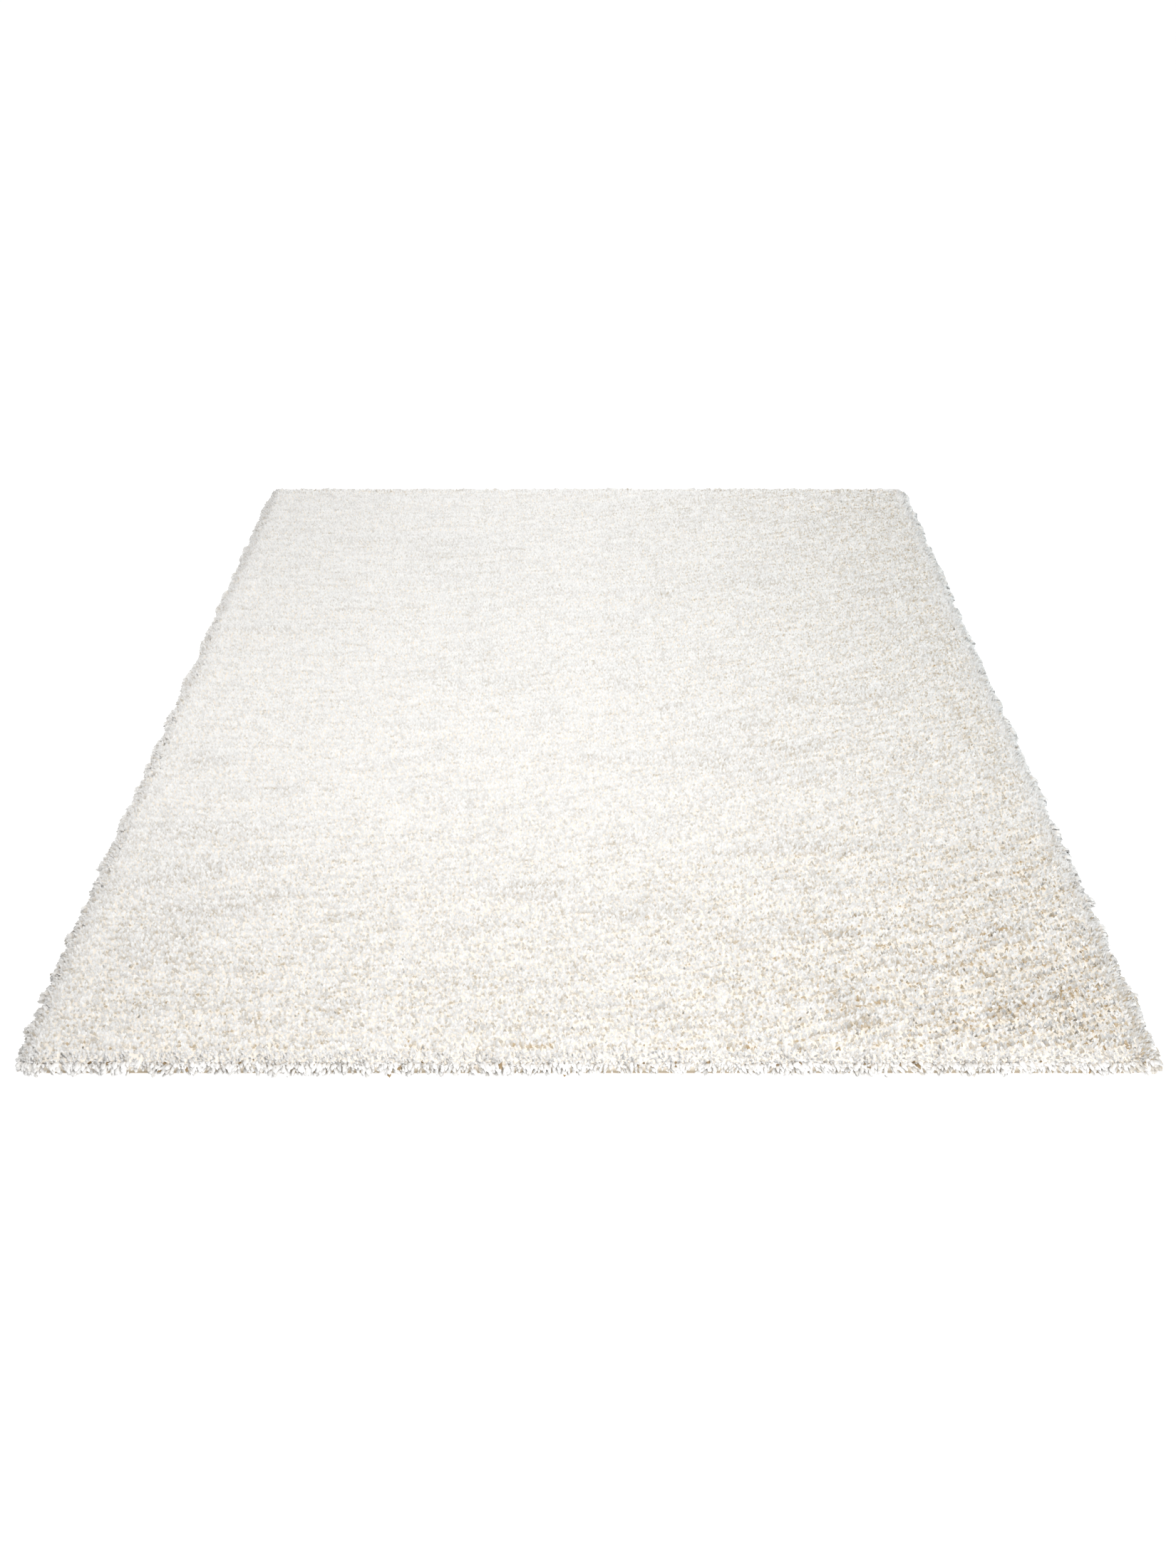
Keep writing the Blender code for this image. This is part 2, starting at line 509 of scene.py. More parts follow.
def clamp(value, limit):
    """The value, kept within this limit either way."""
    return max(-limit, min(limit, value))


def corner_reach(out):
    """How far the rounded corner lies from its middle in this direction, in corner sizes."""
    power = CORNER_SQUARENESS
    return (abs(out.x) ** power + abs(out.y) ** power) ** (-1 / power)


def rounded(x, y, half_x, half_y):
    """A square corner's point moved on to the rounded one."""
    foot = Vector((clamp(x, half_x - CORNER_SIZE), clamp(y, half_y - CORNER_SIZE)))
    past = Vector((x, y)) - foot
    if past.length == 0:
        return foot
    out = past.normalized()
    return foot + out * corner_reach(out) * max(abs(past.x), abs(past.y))


def edge_distance(x, y):
    """How far (x, y) lies in from the rug's outer edge, up to the size of a corner."""
    past_x = max(abs(x) - RIGHT_EDGE + CORNER_SIZE, 0.0)
    past_y = max(abs(y) - BACK_EDGE + CORNER_SIZE, 0.0)
    power = CORNER_SQUARENESS
    return CORNER_SIZE - (past_x**power + past_y**power) ** (1 / power)


def slope_height(distance):
    """The bed's greatest height at this distance from the rug's outer edge."""
    for (near, low), (far, high) in zip(BED_SLOPE, BED_SLOPE[1:]):
        if distance < far:
            return low + (high - low) * max(distance - near, 0) / (far - near)
    return BED_SLOPE[-1][1]


def slab(name, inset, cell, bottom, top):
    """A closed slab with the rug's rounded outline, drawn in by inset; top gives its height at (x, y)."""
    half_x = RIGHT_EDGE - inset
    half_y = BACK_EDGE - inset
    bm = bmesh.new()
    bmesh.ops.create_grid(
        bm, x_segments=round(2 * half_x / cell), y_segments=round(2 * half_y / cell), size=1.0
    )
    for vert in bm.verts:
        place = rounded(vert.co.x * half_x, vert.co.y * half_y, half_x, half_y)
        vert.co = (place.x, place.y, top(place.x, place.y))
    border = [edge for edge in bm.edges if edge.is_boundary]
    made = bmesh.ops.extrude_edge_only(bm, edges=border)["geom"]
    for item in made:
        if isinstance(item, bmesh.types.BMVert):
            item.co.z = bottom
    bmesh.ops.edgeloop_fill(bm, edges=[item for item in made if isinstance(item, bmesh.types.BMEdge)])
    bmesh.ops.recalc_face_normals(bm, faces=bm.faces)
    return drawn(bm, name)


def strand_face(bm, corners):
    """A face of a strand; each corner is its vertex, its place round the strand, and its place along it."""
    made = bm.faces.new([vert for vert, _, _ in corners])
    made.smooth = True
    uv = bm.loops.layers.uv["OFBake"]
    for loop, (_, across, along) in zip(made.loops, corners):
        loop[uv].uv = (across * STRAND_MAP_WIDTH, along)


def strand_mesh(name, line, radii):
    """A closed strand along a line in the XZ plane, pointed at its end, with its own map: round it in u, and
    from its root to its tip in v."""
    bm = bmesh.new()
    bm.loops.layers.uv.new("OFBake")
    rings = []
    for i, (x, z) in enumerate(line[:-1]):
        before = line[max(i - 1, 0)]
        after = line[i + 1]
        run = Vector((after[0] - before[0], after[1] - before[1])).normalized()
        ring = []
        for k in range(YARN_SIDES):
            turn = math.tau * (k + 0.5) / YARN_SIDES
            up = radii[i] * math.sin(turn)
            place = (x - run.y * up, radii[i] * math.cos(turn), z + run.x * up)
            ring.append(bm.verts.new(place))
        rings.append(ring)
    tip = bm.verts.new((line[-1][0], 0, line[-1][1]))
    steps = [i / (len(line) - 1) for i in range(len(line))]
    for k in range(YARN_SIDES):
        near = k / YARN_SIDES
        far = (k + 1) / YARN_SIDES
        after = (k + 1) % YARN_SIDES
        for low, high, v_low, v_high in zip(rings, rings[1:], steps, steps[1:]):
            lower = [(low[k], near, v_low), (low[after], far, v_low)]
            upper = [(high[after], far, v_high), (high[k], near, v_high)]
            strand_face(bm, lower + upper)
        last = rings[-1]
        base = [(last[k], near, steps[-2]), (last[after], far, steps[-2])]
        strand_face(bm, base + [(tip, (near + far) / 2, 1.0)])
    root = reversed(rings[0])
    strand_face(bm, [(vert, across, along) for vert, (across, along) in zip(root, ROOT_CORNERS)])
    bmesh.ops.recalc_face_normals(bm, faces=bm.faces)
    return drawn(bm, name)


# Geometry Nodes


class Value:
    """A number or a vector in a tree. What is worked out from it takes new nodes."""

    def __init__(self, tree, socket):
        self.socket = socket
        self.is_vector = socket.type == "VECTOR"
        self.solve = tree.vector if self.is_vector else tree.math

    def __add__(self, other):
        return self.solve("ADD", self, other)

    def __sub__(self, other):
        return self.solve("SUBTRACT", self, other)

    def __rsub__(self, other):
        return self.solve("SUBTRACT", other, self)

    def __mul__(self, other):
        return self.solve("SCALE" if self.is_vector else "MULTIPLY", self, other)

    def __truediv__(self, other):
        return self.solve("DIVIDE", self, other)

    def __pow__(self, other):
        return self.solve("POWER", self, other)

    def __neg__(self):
        return self * -1.0

    def __abs__(self):
        return self.solve("ABSOLUTE", self)


class Tree:
    """A Geometry Nodes tree with named inputs, and short ways to add to it."""

    def __init__(self, name, kinds):
        self.group = bpy.data.node_groups.new(name, "GeometryNodeTree")
        face = self.group.interface
        face.new_socket(name="Geometry", in_out="INPUT", socket_type="NodeSocketGeometry")
        self.inputs = {}
        for label, kind in kinds.items():
            socket = face.new_socket(name=label, in_out="INPUT", socket_type="NodeSocket" + kind)
            self.inputs[label] = socket.identifier
        face.new_socket(name="Geometry", in_out="OUTPUT", socket_type="NodeSocketGeometry")
        self.given = self.group.nodes.new("NodeGroupInput").outputs
        self.result = self.group.nodes.new("NodeGroupOutput").inputs[0]

    def __getitem__(self, label):
        """The tree's input with this name."""
        return Value(self, self.given[label])

    def join(self, value, socket):
        """Links a value to this socket, or sets a plain value on it."""
        value = value.socket if isinstance(value, Value) else value
        if isinstance(value, bpy.types.NodeSocket):
            self.group.links.new(value, socket)
        elif value is not None:
            socket.default_value = value

    def add(self, kind, values=(), **settings):
        """A node with these settings; values go to its inputs, by name or in order."""
        made = self.group.nodes.new(kind)
        for key, value in settings.items():
            setattr(made, key, value)
        named = values.items() if isinstance(values, dict) else enumerate(values)
        for key, value in named:
            self.join(value, made.inputs[key])
        return made

    def math(self, operation, *values, clamped=False):
        made = self.add("ShaderNodeMath", values, operation=operation, use_clamp=clamped)
        return Value(self, made.outputs[0])

    def vector(self, operation, *values):
        if operation == "SCALE":
            values = {0: values[0], "Scale": values[1]}
        made = self.add("ShaderNodeVectorMath", values, operation=operation)
        return Value(self, made.outputs["Value" if operation == "DOT_PRODUCT" else "Vector"])

    def combine(self, x=0.0, y=0.0, z=0.0):
        return Value(self, self.add("ShaderNodeCombineXYZ", (x, y, z)).outputs[0])

    def split(self, value):
        return [Value(self, part) for part in self.add("ShaderNodeSeparateXYZ", (value,)).outputs]

    def position(self):
        return Value(self, self.add("GeometryNodeInputPosition").outputs[0])

    def share(self, value, whole):
        """0 where the value is 0, and 1 from the whole on."""
        return self.math("DIVIDE", value, whole, clamped=True)

    def rise(self, value, start, span):
        """0 up to start, and 1 from start + span on."""
        return self.share(value - start, span)

    def line(self, value, width):
        """1 where the value is 0, and 0 further than width from there."""
        return 1.0 - self.share(abs(value), width)

    def positive(self, value):
        return self.math("MAXIMUM", value, 0.0)

    def over(self, place, size):
        """The place in units of this size, but for its height, which stays as it is."""
        return place / self.combine(size, size, 1.0)

    def noise(self, place, detail=NOISE_DETAIL, fineness=NOISE_FINENESS):
        """Noise from -1 to 1, about, as a number and as a vector."""
        made = self.add(
            "ShaderNodeTexNoise",
            {"Vector": place, "Scale": 1.0, "Detail": detail, "Roughness": fineness},
            noise_dimensions="3D",
        )
        value = self.math("MULTIPLY_ADD", made.outputs[0], 2.0, -1.0)
        both = self.vector("MULTIPLY_ADD", made.outputs[1], (2.0, 2.0, 2.0), (-1.0, -1.0, -1.0))
        return value, both

    def noise_here(self, size, **settings):
        """Noise at each point, with lumps of the size that this input gives."""
        return self.noise(self.over(self.here, self[size]), **settings)

    def patches(self, place, gain, share):
        """Soft-edged patches, 1 inside them and 0 outside."""
        return self.math("MULTIPLY_ADD", self.noise(place)[0], self[gain], self[share], clamped=True)

    def used_output(self, node):
        return Value(self, next(s for s in node.outputs if s.enabled))

    def random(self, low, high, seed, kind="FLOAT"):
        """A random value between low and high, for each point or strand."""
        made = self.add("FunctionNodeRandomValue", data_type=kind)
        ends = [s for s in made.inputs if s.enabled]
        self.join(low, ends[0])
        self.join(high, ends[1])
        self.join(seed, made.inputs["Seed"])
        return self.used_output(made)

    def stray(self, limit, seed):
        """A random value up to this limit, either way."""
        return self.random(-limit, limit, seed)

    def stray_way(self, seed):
        """A random vector in the XY plane."""
        return self.random((-1, -1, 0), (1, 1, 0), seed, "FLOAT_VECTOR")

    def named(self, name, kind="FLOAT"):
        """An attribute's value."""
        return self.used_output(
            self.add("GeometryNodeInputNamedAttribute", {"Name": name}, data_type=kind)
        )

    def store(self, geometry, name, value, kind="FLOAT", domain="POINT"):
        """The geometry with the value kept on it as an attribute."""
        made = self.add(
            "GeometryNodeStoreNamedAttribute",
            {"Geometry": geometry, "Name": name},
            data_type=kind,
            domain=domain,
        )
        self.join(value, next(s for s in made.inputs if s.enabled and s.name == "Value"))
        return made.outputs[0]

    def geometry_of(self, label):
        """The geometry of the object that this input names."""
        given = {"Object": self[label]}
        return self.add("GeometryNodeObjectInfo", given, transform_space="RELATIVE").outputs["Geometry"]

    def front_side(self, y):
        """Rises from 0 to 1 as the pile turns over into the front side."""
        return self.rise(-y, BACK_EDGE - FRONT_SIDE_WIDTH, FRONT_SIDE_SPAN)

    def roughness(self, x, y):
        """How rough the pile is: calm at the back left, rougher to the right and the front."""
        right = self.rise(x, ROUGH_RIGHT_START, ROUGH_RIGHT_SPAN) ** ROUGH_RIGHT_POWER
        fore = self.rise(-y, ROUGH_FRONT_START, ROUGH_FRONT_SPAN)
        rough = self["Calm"] + right * self["Right"] + fore * self["Fore"] + right * fore * ROUGH_BOTH
        side = self.front_side(y)
        corner = self.rise(abs(x), RIGHT_EDGE - FRONT_CORNER_WIDTH, FRONT_CORNER_SPAN)
        return rough * (1.0 - side * FRONT_SIDE_CALM) + corner * side * FRONT_CORNER_ROUGH

    def finish_yarn(self, copies, deep):
        """Makes the yarn real, moves each strand's map to the column of its painted shade, keeps it above
        the floor, turns its shading to its neighbourhood's face, and dresses it."""
        depth = self.math("SQRT", self.share(deep, YARN_SHADE_DEPTH))
        column = self.math("FLOOR", (1.0 - depth) * float(STRAND_COLUMNS))
        column = self.math("MINIMUM", column, float(STRAND_COLUMNS - 1)) * STRAND_MAP_WIDTH
        shaded = self.store(copies, "column", column, domain="INSTANCE")
        real = self.add("GeometryNodeRealizeInstances", {"Geometry": shaded}).outputs[0]
        moved = self.named("OFBake", "FLOAT_VECTOR") + self.combine(self.named("column"))
        mapped = self.store(real, "OFBake", moved, "FLOAT2", "CORNER")
        x, y, z = self.split(self.position())
        place = self.combine(x, y, self.math("MAXIMUM", z, YARN_CLEARANCE))
        above = self.add("GeometryNodeSetPosition", {"Geometry": mapped, "Position": place})
        normal = self.add("GeometryNodeInputNormal").outputs[0]
        soft = self.named("face", "FLOAT_VECTOR") * self["Softness"] + normal
        turned = {"Mesh": above.outputs[0], "Custom Normal": self.vector("NORMALIZE", soft)}
        smooth = self.add("GeometryNodeSetMeshNormal", turned, mode="FREE", domain="POINT")
        cover = {"Geometry": smooth.outputs[0], "Material": self["Material"]}
        self.join(self.add("GeometryNodeSetMaterial", cover).outputs[0], self.result)

    def grown(self, name, made_of, values):
        """The finished piece that this tree makes with these values."""
        host = linked(name, bpy.data.meshes.new(name))
        modifier = host.modifiers.new("grow", "NODES")
        modifier.node_group = self.group
        for label, value in {**values, "Material": made_of}.items():
            modifier[self.inputs[label]] = value
        bpy.context.view_layer.update()
        evaluated = host.evaluated_get(bpy.context.evaluated_depsgraph_get())
        mesh = bpy.data.meshes.new_from_object(evaluated)
        bpy.data.objects.remove(host)
        mesh.name = name
        for extra in HELP_ATTRIBUTES:
            if extra in mesh.attributes:
                mesh.attributes.remove(mesh.attributes[extra])
        return new_object(name, mesh, made_of)


def floats(labels):
    """Inputs for numbers, with these names."""
    return {label: "Float" for label in labels}


class TipsTree(Tree):
    """Yarn ends that stand on the rug's surface in a loose grid, and lean in rows and tufts."""

    def __init__(self):
        kinds = {"Across": "Int", "Along": "Int", "Seed": "Int"}
        kinds.update(Surface="Object", Yarn="Object", Material="Material")
        numbers = floats(("Width", "Front", "Back", "Spacing", *TIP_LOOK))
        super().__init__("pile_tips", {**kinds, **numbers})
        points = self.grid()
        self.here = self.position()
        self.x, self.y, _ = self.split(self.here)
        self.rough = self.roughness(self.x, self.y)
        # Rows run along X and rise to the right, so their noise changes fast along Y
        self.row_y = self.y - self.x * (self["Row slope"] + self.x * self["Row bend"])
        self.row = self.row_height(0.0, 0.0)
        fall_x = self.row - self.row_height(ROW_STEP, 0.0)
        self.slope = self.combine(fall_x, self.row - self.row_height(0.0, ROW_STEP))
        self.tuft, self.tuft_way = self.noise_here("Tuft size")
        self.fold = self.front_fold()
        self.creased = self.creases()
        height = self.surface_height()
        kept = self.without_rim(points, height)
        stored = self.store(kept, "way", self.way(), "FLOAT_VECTOR")
        stored = self.store(stored, "face", self.face(), "FLOAT_VECTOR")
        stored = self.store(stored, "deep", self.depth())
        self.finish_yarn(self.stand(stored, height), self.named("deep"))

    def grid(self):
        """Points in a grid, each a little out of its place."""
        grid = self.add(
            "GeometryNodeMeshGrid",
            {
                "Size X": self["Width"],
                "Size Y": self["Back"] - self["Front"],
                "Vertices X": self["Across"],
                "Vertices Y": self["Along"],
            },
        )
        jitter = self.random((-0.5, -0.5, 0), (0.5, 0.5, 0), self["Seed"], "FLOAT_VECTOR")
        middle = self.combine(0.0, (self["Front"] + self["Back"]) / 2.0)
        points = self.add("GeometryNodeMeshToPoints", {"Mesh": grid.outputs["Mesh"]})
        moved = {"Geometry": points.outputs[0], "Offset": jitter * self["Spacing"] + middle}
        return self.add("GeometryNodeSetPosition", moved).outputs[0]

    def surface_height(self):
        """The height of the rug's surface at each point."""
        ray = self.add(
            "GeometryNodeRaycast",
            {
                "Target Geometry": self.geometry_of("Surface"),
                "Source Position": self.combine(self.x, self.y, RAY_HEIGHT),
                "Ray Direction": (0, 0, -1),
                "Ray Length": RAY_LENGTH,
            },
        )
        return self.split(ray.outputs["Hit Position"])[2]

    def without_rim(self, points, height):
        """The points but for those at the rim, which has tips of its own where the surface slopes down."""
        inside = self.math("MINIMUM", RIGHT_EDGE - abs(self.x), BACK_EDGE - abs(self.y))
        low = self.math("LESS_THAN", height, self["Lowest"])
        at_rim = low * self.math("LESS_THAN", inside, self["Rim width"])
        taken = {"Geometry": points, "Selection": at_rim}
        return self.add("GeometryNodeDeleteGeometry", taken, domain="POINT").outputs[0]

    def lengthwise(self, run, pitch, level):
        """A place in noise that is drawn out along the rows; each level has noise of its own."""
        return self.combine(self.x / self[run], self.row_y / self[pitch], level)

    def row_height(self, step_x, step_y):
        """The height of the pile's rows at a step from each tip, about -1 to 1."""
        step = self.combine(
            self.math("DIVIDE", step_x, self["Row run"]), self.math("DIVIDE", step_y, self["Row pitch"])
        )
        rows_at = self.lengthwise("Row run", "Row pitch", ROW_LEVEL)
        return self.noise(rows_at + step, fineness=ROW_FINENESS)[0]

    def front_fold(self):
        """1 in broken lines where the front turns down, and 0 away from them."""
        past = self.y - LOW[1] - self["Fold place"]
        broken_at = self.combine(self.x / self["Fold run"], self.y / self["Fold pitch"])
        broken = self.patches(broken_at, "Fold gain", "Fold share")
        return self.line(past, self["Fold width"]) * broken

    def creases(self):
        """1 in the creases between rows, which lie in patches and where the front turns down."""
        crease_at = self.lengthwise("Crease run", "Crease pitch", CREASE_LEVEL)
        crease = self.line(self.noise(crease_at, detail=CREASE_DETAIL)[0], self["Crease width"])
        patch_at = self.lengthwise("Patch run", "Patch pitch", PATCH_LEVEL)
        sparse = self.patches(patch_at, "Patch gain", "Patch share")
        return crease * self.math("MAXIMUM", sparse, self.fold)

    def way(self):
        """The way each tip points: up, leaning with the rows and tufts, and outwards near the rim."""
        lean = self.slope * (self["Row lean"] * self.rough) + self.tuft_way * self["Tuft lean"]
        lean = lean + self.stray_way(LEAN_SEED) * self["Stray lean"]
        lean = lean + self.combine(self.edge_push(self.x, RIGHT_EDGE), self.edge_push(self.y, BACK_EDGE))
        lean = self.vector("MULTIPLY", lean, (1, 1, 0))
        return self.vector("NORMALIZE", lean + (0, 0, 1))

    def edge_push(self, place, edge):
        """How far the pile leans outwards near this edge."""
        past = self.share(abs(place) - edge + self["Edge width"], self["Edge width"])
        return self.math("SIGN", place) * self["Edge lean"] * (past * past)

    def face(self):
        """The way each tip's neighbourhood faces, for its shading."""
        own = self.stray_way(RELIEF_SEED) * self["Stray relief"]
        swell = (self.slope * self["Row relief"] + own) * self.rough
        return self.vector("NORMALIZE", swell + (0, 0, 1))

    def depth(self):
        """Each tip's painted shade: in creases, in hollows, on the rows' sides to the front and the right,
        along furrows and in the fold at the front, with a random share for each tip."""
        side = self.positive(self.vector("DOT_PRODUCT", self.slope, ROW_SHADED_SIDE))
        own = self.random(0.0, 1.0, SHADE_SEED) ** self["Stray power"]
        deep = self.creased * self["Crease shade"] + self.positive(-self.tuft) * self["Tuft shade"]
        deep = deep + side * self["Row shade"] + own * self["Stray shade"]
        beside = self.rise(abs(self.x), RIGHT_EDGE - self["Side start"], self["Side span"])
        deep = deep * self.rough ** self["Shade power"] * (1.0 - beside * self["Side paling"])
        furrow, _ = self.noise(self.lengthwise("Furrow run", "Furrow pitch", FURROW_LEVEL))
        deep = deep + self.positive(furrow) * self["Furrow shade"]
        # The creases where the front turns down get more painted shade
        return deep + self.creased * self.fold * self["Fold shade"]

    def lift(self):
        """How high each tip stands over the surface."""
        rise = self.row * self["Row height"] * self.rough
        rise = rise - self.creased * self.rough * self["Crease depth"] + self.tuft * self["Tuft height"]
        rise = rise + self.stray(self["Stray height"] * self.rough, HEIGHT_SEED)
        # Along the back edge the tufts stand uneven against what is behind them
        crest = self.rise(self.y, HIGH[1] - self["Crest start"], self["Crest span"])
        return rise + crest * self.tuft * self["Crest height"]

    def stand(self, points, height):
        """A tip on each point. It ends at the surface, so its root lies back along the yarn from there."""
        way = self.named("way", "FLOAT_VECTOR")
        root = self.combine(self.x, self.y, height + self.lift()) - way * self["Length"]
        placed = self.add("GeometryNodeSetPosition", {"Geometry": points, "Position": root})
        turn = self.add("FunctionNodeAlignRotationToVector", {"Vector": way}, axis="Z")
        round_it = self.combine(0.0, 0.0, self.random(0.0, math.tau, SPIN_SEED))
        spun = {
            "Rotation": turn.outputs[0],
            "Rotate By": self.add("FunctionNodeEulerToRotation", {0: round_it}).outputs[0],
        }
        spin = self.add("FunctionNodeRotateRotation", spun, rotation_space="LOCAL")
        yarn = self.add("GeometryNodeObjectInfo", {"Object": self["Yarn"], "As Instance": True})
        thickness = self["Radius"] * self.random(*THICKNESS_STRAY, THICKNESS_SEED)
        copies = self.add(
            "GeometryNodeInstanceOnPoints",
            {
                "Points": placed.outputs[0],
                "Instance": yarn.outputs["Geometry"],
                "Rotation": spin.outputs[0],
                "Scale": self.combine(thickness, thickness, self["Length"]),
            },
        )
        return copies.outputs[0]


class RimTree(Tree):
    """One layer of yarn that lies outwards all along an outline, drawn together into locks."""

    def __init__(self):
        kinds = {"Outline": "Object", "Count": "Int", "Yarns": "Collection", "Seed": "Int"}
        kinds.update(Material="Material")
        super().__init__("rim_layer", {**kinds, **floats(("Inset", "Height", *RIM_LOOK))})
        spaced = {"Curve": self.geometry_of("Outline"), "Count": self["Count"]}
        points = self.add("GeometryNodeCurveToPoints", spaced, mode="COUNT")
        self.here = self.position()
        self.x, self.y, _ = self.split(self.here)
        self.rough = self.roughness(self.x, self.y)
        self.tangent = Value(self, points.outputs["Tangent"])
        self.out = self.vector("CROSS_PRODUCT", self.tangent, (0, 0, 1))
        self.seed = self["Seed"] + float(SEED_PLACES)
        level = self.combine(0.0, 0.0, self["Seed"] * self["Grain step"])
        self.grain, self.grain_way = self.noise(self.over(self.here, self["Grain size"]) + level)
        self.crease = self.creases()
        stored = self.store(points.outputs["Points"], "yaw", self.yaw())
        stored = self.store(stored, "face", self.face(), "FLOAT_VECTOR")
        placed = self.add("GeometryNodeSetPosition", {"Geometry": stored, "Offset": self.offset()})
        self.finish_yarn(self.lay(placed.outputs[0]), self.depth())

    def own(self, number):
        """The seed of this kind of random value, in this layer."""
        return self.seed + float(number)

    def creases(self):
        """1 in the creases that run down the side, in patches, at the same places in every layer."""
        crease = self.line(self.noise_here("Crease size")[0], self["Crease width"])
        patch_at = self.over(self.here, self["Patch size"])
        return crease * (self.patches(patch_at, "Patch gain", "Patch share") * self["Crease share"])

    def yaw(self):
        """The way each strand points, seen from above. Neighbours bend towards each other, as this noise
        turns them to one side or the other."""
        aim = self.noise_here("Lock size")[0] * self["Lock pull"]
        aim = self.out + self.tangent * (aim + self.stray(self["Stray"], self["Seed"]))
        aim_x, aim_y, _ = self.split(aim)
        return self.math("ARCTAN2", aim_y, aim_x)

    def face(self):
        """The way each strand's neighbourhood faces; it differs a little by strand, and in grains."""
        relief = self["Relief"] * self.rough
        apart = self.stray_way(self["Seed"] + float(SEED_FACES))
        facing = self.out * self["Facing"] + (0, 0, 1) + self.grain_way * relief + apart * relief
        return self.vector("NORMALIZE", facing)

    def offset(self):
        """How far each strand's root lies from the outline: along it, in from it and up."""
        own = self.random(-self["Further out"], self["Further in"], self.own(INSET_SEED))
        inset = self["Inset"] + own + self.crease * self["Crease depth"]
        # Lumps swell the rim in and out, and knobs swell it up and down where it isn't the front
        lump, _ = self.noise_here("Lump spacing", detail=LUMP_DETAIL)
        inset = inset + lump * self["Lump size"]
        knob, _ = self.noise(self.over(self.here + (0, 0, KNOB_LEVEL), self["Knob spacing"]))
        knob = knob * self.rise(self.y, self["Knob start"] - BACK_EDGE, self["Knob span"])
        lift = self["Height"] + self.stray(self["Lift"], self.own(LIFT_SEED)) + knob * self["Knob height"]
        slide = self.tangent * self.stray(self["Slide"], self.seed)
        return slide - self.out * inset + self.combine(0.0, 0.0, lift)

    def lay(self, points):
        """A strand on each point."""
        yarns = self.add(
            "GeometryNodeCollectionInfo",
            {"Collection": self["Yarns"], "Separate Children": True, "Reset Children": True},
        )
        pitch = self.stray(self["Pitch"], self.own(PITCH_SEED))
        roll = self.stray(self["Roll"], self.own(ROLL_SEED))
        turn = self.combine(roll, pitch, self.named("yaw"))
        # Locks end in round lumps with notches between them
        notch = self.share(abs(self.noise_here("Notch size")[0]), self["Notch width"])
        shortest = self["Longest"] - self["Lock reach"]
        size = shortest + notch ** self["Notch power"] * self["Lock reach"]
        size = size * self.random(*SIZE_STRAY, self.own(SIZE_SEED))
        thick = size * self.random(*THICKNESS_STRAY, self.own(THICK_SEED))
        copies = self.add(
            "GeometryNodeInstanceOnPoints",
            {
                "Points": points,
                "Instance": yarns.outputs[0],
                "Pick Instance": True,
                "Instance Index": self.random(0, HIGHEST_PICK, self.own(PICK_SEED), "INT"),
                "Rotation": self.add("FunctionNodeEulerToRotation", {0: turn}).outputs[0],
                "Scale": self.combine(size, thick, size),
            },
        )
        return copies.outputs[0]

    def depth(self):
        """Each strand's painted shade: a random share, more in the grain's hollows and in creases, and a few
        dark specks.
        """
        chance = self.random(0.0, 1.0, self.own(SPREAD_SEED)) ** self["Spread power"]
        deep = chance * self["Spread"] + self.positive(-self.grain) * self["Grain shade"]
        deep = self["Depth"] + (deep + self.crease * self["Crease shade"]) * self.rough
        # A few strands at the front are painted dark, as specks of shade between the locks
        share = self.front_side(self.y) * self["Speck share"]
        speck = self.math("LESS_THAN", self.random(0.0, 1.0, self.own(SPECK_SEED)), share)
        return deep + speck * self["Speck depth"]


# Pieces


def build_backing(made_of):
    """The flat cloth that carries the yarn."""
    mesh = slab("backing", BACKING_INSET, BACKING_CELL, 0.0, lambda x, y: BACKING_THICKNESS)
    return new_object("backing", mesh, made_of)


def build_bed(made_of, surface):
    """The yarn under the tips, which closes the pile from below."""
    solid = BVHTree.FromPolygons(
        [surface.matrix_world @ v.co for v in surface.data.vertices],
        [p.vertices for p in surface.data.polygons],
    )

    def top(x, y):
        hit = solid.ray_cast(Vector((x, y, RAY_HEIGHT)), Vector((0, 0, -1)))[0]
        place = Vector((x / BED_LUMP_SIZE[0], y / BED_LUMP_SIZE[1], 0))
        lump = BED_LUMP_HEIGHT * noise.noise(place)
        cap = slope_height(edge_distance(x, y))
        if hit is None or cap < BED_RIM_HEIGHT:
            return cap + lump * BED_RIM_LUMP_SHARE
        return min(hit.z - BED_DEPTH + lump, cap)

    mesh = slab("pile_bed", BED_INSET, BED_CELL, BACKING_THICKNESS + BED_GAP, top)
    mesh.shade_smooth()
    return new_object("pile_bed", mesh, made_of)


def build_tips(made_of, surface):
    """The pile's tips, a band at a time."""
    # A tip is a pyramid of unit length and radius, upright
    yarn = new_object("yarn_tip", strand_mesh("yarn_tip", [(0, 0), (0, 1)], [1.0]), made_of)
    tree = TipsTree()
    band_length = LENGTH / TIP_BANDS
    along = round(band_length / TIP_SPACING)
    step = band_length / along
    pieces = []
    for band in range(TIP_BANDS):
        front = LOW[1] + band * band_length
        values = {
            **TIP_LOOK,
            "Width": WIDTH,
            "Front": front + step / 2,
            "Back": front + band_length - step / 2,
            "Across": round(WIDTH / TIP_SPACING),
            "Along": along,
            "Spacing": TIP_SPACING,
            "Surface": surface,
            "Yarn": yarn,
            "Seed": band,
        }
        pieces.append(tree.grown(f"pile_{band + 1}", made_of, values))
    bpy.data.objects.remove(yarn)
    return pieces


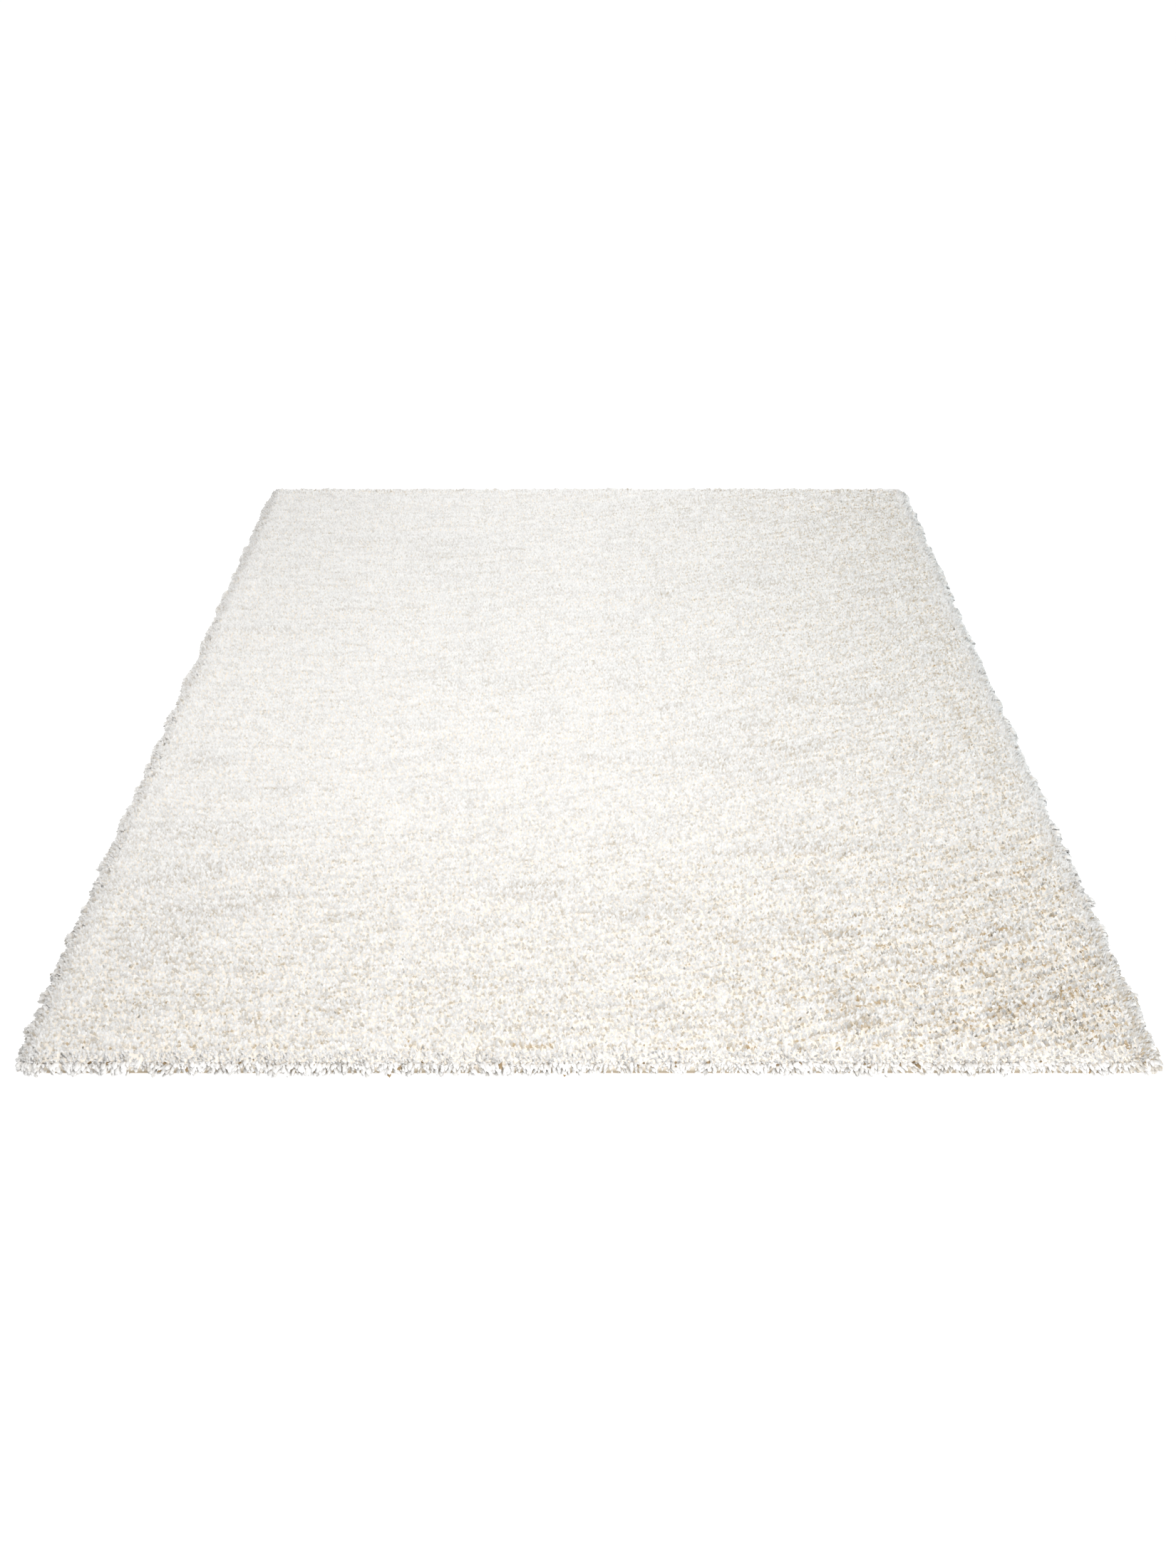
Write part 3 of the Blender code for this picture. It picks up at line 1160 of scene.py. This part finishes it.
def build_outline():
    """The rug's outer edge, as a closed curve on the floor."""
    corner = []
    for i in range(CORNER_STEPS + 1):
        turn = math.pi / 2 * i / CORNER_STEPS
        out = Vector((math.cos(turn), math.sin(turn)))
        corner.append(out * corner_reach(out) * CORNER_SIZE)
    foot = Vector((RIGHT_EDGE - CORNER_SIZE, BACK_EDGE - CORNER_SIZE))
    quarter = [foot + c for c in corner]
    turned = quarter[::-1]
    around = ((1, 1, quarter), (-1, 1, turned), (-1, -1, quarter), (1, -1, turned))
    points = [(x * p.x, y * p.y, 0, 1) for x, y, part in around for p in part]
    curve = bpy.data.curves.new("outline", "CURVE")
    curve.dimensions = "3D"
    spline = curve.splines.new("POLY")
    spline.points.add(len(points) - 1)
    for point, place in zip(spline.points, points):
        point.co = place
    spline.use_cyclic_u = True
    return linked("outline", curve)


def rim_line(spec, change):
    """A strand's middle line, from its root at the origin outwards; it rises by its bow, then droops."""
    run = spec["root"][0] - spec["tip"][0]
    rise = spec["tip"][1] - spec["root"][1]
    bow = spec["bow"] + change
    return [(run * t, rise * t + bow * 4 * t * (1 - t)) for t in RIM_JOINTS]


def rim_layers():
    """Each layer's root, its strands' lines and thicknesses, their spacing and their look."""
    layers = []
    for number, spec in enumerate(RIM_LAYERS):
        look = {
            **RIM_LOOK,
            "Lock pull": RIM_LOOK["Lock pull"] - RIM_PULL_STEP * number,
            "Depth": RIM_LOOK["Depth"] - RIM_SHADE_STEP * number,
        }
        lines = [rim_line(spec, change) for change in RIM_BOW_CHANGES]
        radii = [RIM_RADIUS * share for share in RIM_TAPER]
        layers.append((spec["root"], lines, radii, RIM_SPACING, look))
    for number, (inset, height, steepness) in enumerate(RIM_TIPS):
        look = dict(RIM_TIP_LOOK)
        if number < RIM_SPECK_ROWS:
            look["Speck share"] = RIM_SPECK_SHARE
        lines = []
        for change in RIM_TIP_TURNS:
            angle = math.radians(steepness + change)
            end = (RIM_TIP_LENGTH * math.cos(angle), RIM_TIP_LENGTH * math.sin(angle))
            lines.append([(0.0, 0.0), end])
        steep = math.radians(steepness)
        root = (inset + RIM_TIP_LENGTH * math.cos(steep), height - RIM_TIP_LENGTH * math.sin(steep))
        layers.append((root, lines, [RIM_TIP_RADIUS], RIM_TIP_SPACING, look))
    return layers


def build_rim(made_of):
    """The strands that lie outwards at the floor, and the tips that stand out of the side above them."""
    outline = build_outline()
    tree = RimTree()
    perimeter = 2 * (WIDTH + LENGTH) - 8 * CORNER_SIZE + 4 * CORNER_RUN * CORNER_SIZE
    pieces = []
    for number, (root, lines, radii, spacing, look) in enumerate(rim_layers()):
        yarns = bpy.data.collections.new(f"rim_yarns_{number + 1}")
        for line in lines:
            strand = bpy.data.objects.new("strand", strand_mesh("strand", line, radii))
            strand.data.materials.append(made_of)
            yarns.objects.link(strand)
        values = {
            **look,
            "Outline": outline,
            "Count": round(perimeter / spacing),
            "Inset": root[0],
            "Height": root[1],
            "Yarns": yarns,
            "Seed": number,
        }
        pieces.append(tree.grown(f"rim_{number + 1}", made_of, values))
        for strand in list(yarns.objects):
            bpy.data.objects.remove(strand)
        bpy.data.collections.remove(yarns)
    bpy.data.objects.remove(outline)
    return pieces


# The studio


def build_camera():
    camera = linked("camera", bpy.data.cameras.new("camera"))
    camera.data.sensor_fit = "VERTICAL"
    camera.data.sensor_height = SENSOR_HEIGHT
    camera.data.lens = CAMERA_LENS
    camera.location = (0, LOW[1] - CAMERA_BEFORE_FRONT, CAMERA_HEIGHT)
    camera.rotation_euler = (math.pi / 2 - CAMERA_PITCH, 0, 0)
    bpy.context.scene.camera = camera


def build_light():
    world = bpy.data.worlds.new("studio")
    world.use_nodes = True
    sky = world.node_tree.nodes["Background"].inputs
    sky["Color"].default_value = WHITE
    sky["Strength"].default_value = WORLD_STRENGTH
    bpy.context.scene.world = world
    for name, place, target, side, power, colour in LIGHTS:
        lamp = bpy.data.lights.new(name, "AREA")
        lamp.shape = "SQUARE"
        lamp.size = side
        lamp.energy = power
        lamp.color = colour
        light = linked(name, lamp)
        light.location = place
        aim = Vector(target) - light.location
        light.rotation_euler = aim.to_track_quat("-Z", "Y").to_euler()


def build_floor():
    bm = bmesh.new()
    bmesh.ops.create_grid(bm, x_segments=1, y_segments=1, size=FLOOR_HALF_SIDE)
    floor = new_object("floor", drawn(bm, "floor"), floor_material())
    floor.location.z = -FLOOR_DROP


def main():
    build_camera()
    build_light()
    build_floor()
    bpy.context.scene.view_settings.view_transform = "Standard"
    yarn = yarn_material()
    surface = frame["nodes"]["shag_rug"]
    strands = build_tips(yarn, surface) + build_rim(yarn)
    backing = build_backing(backing_material())
    bed = build_bed(bed_material(), surface)
    for piece in [backing, bed, *strands]:
        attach(piece, "root")
    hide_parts("shag_rug")


main()
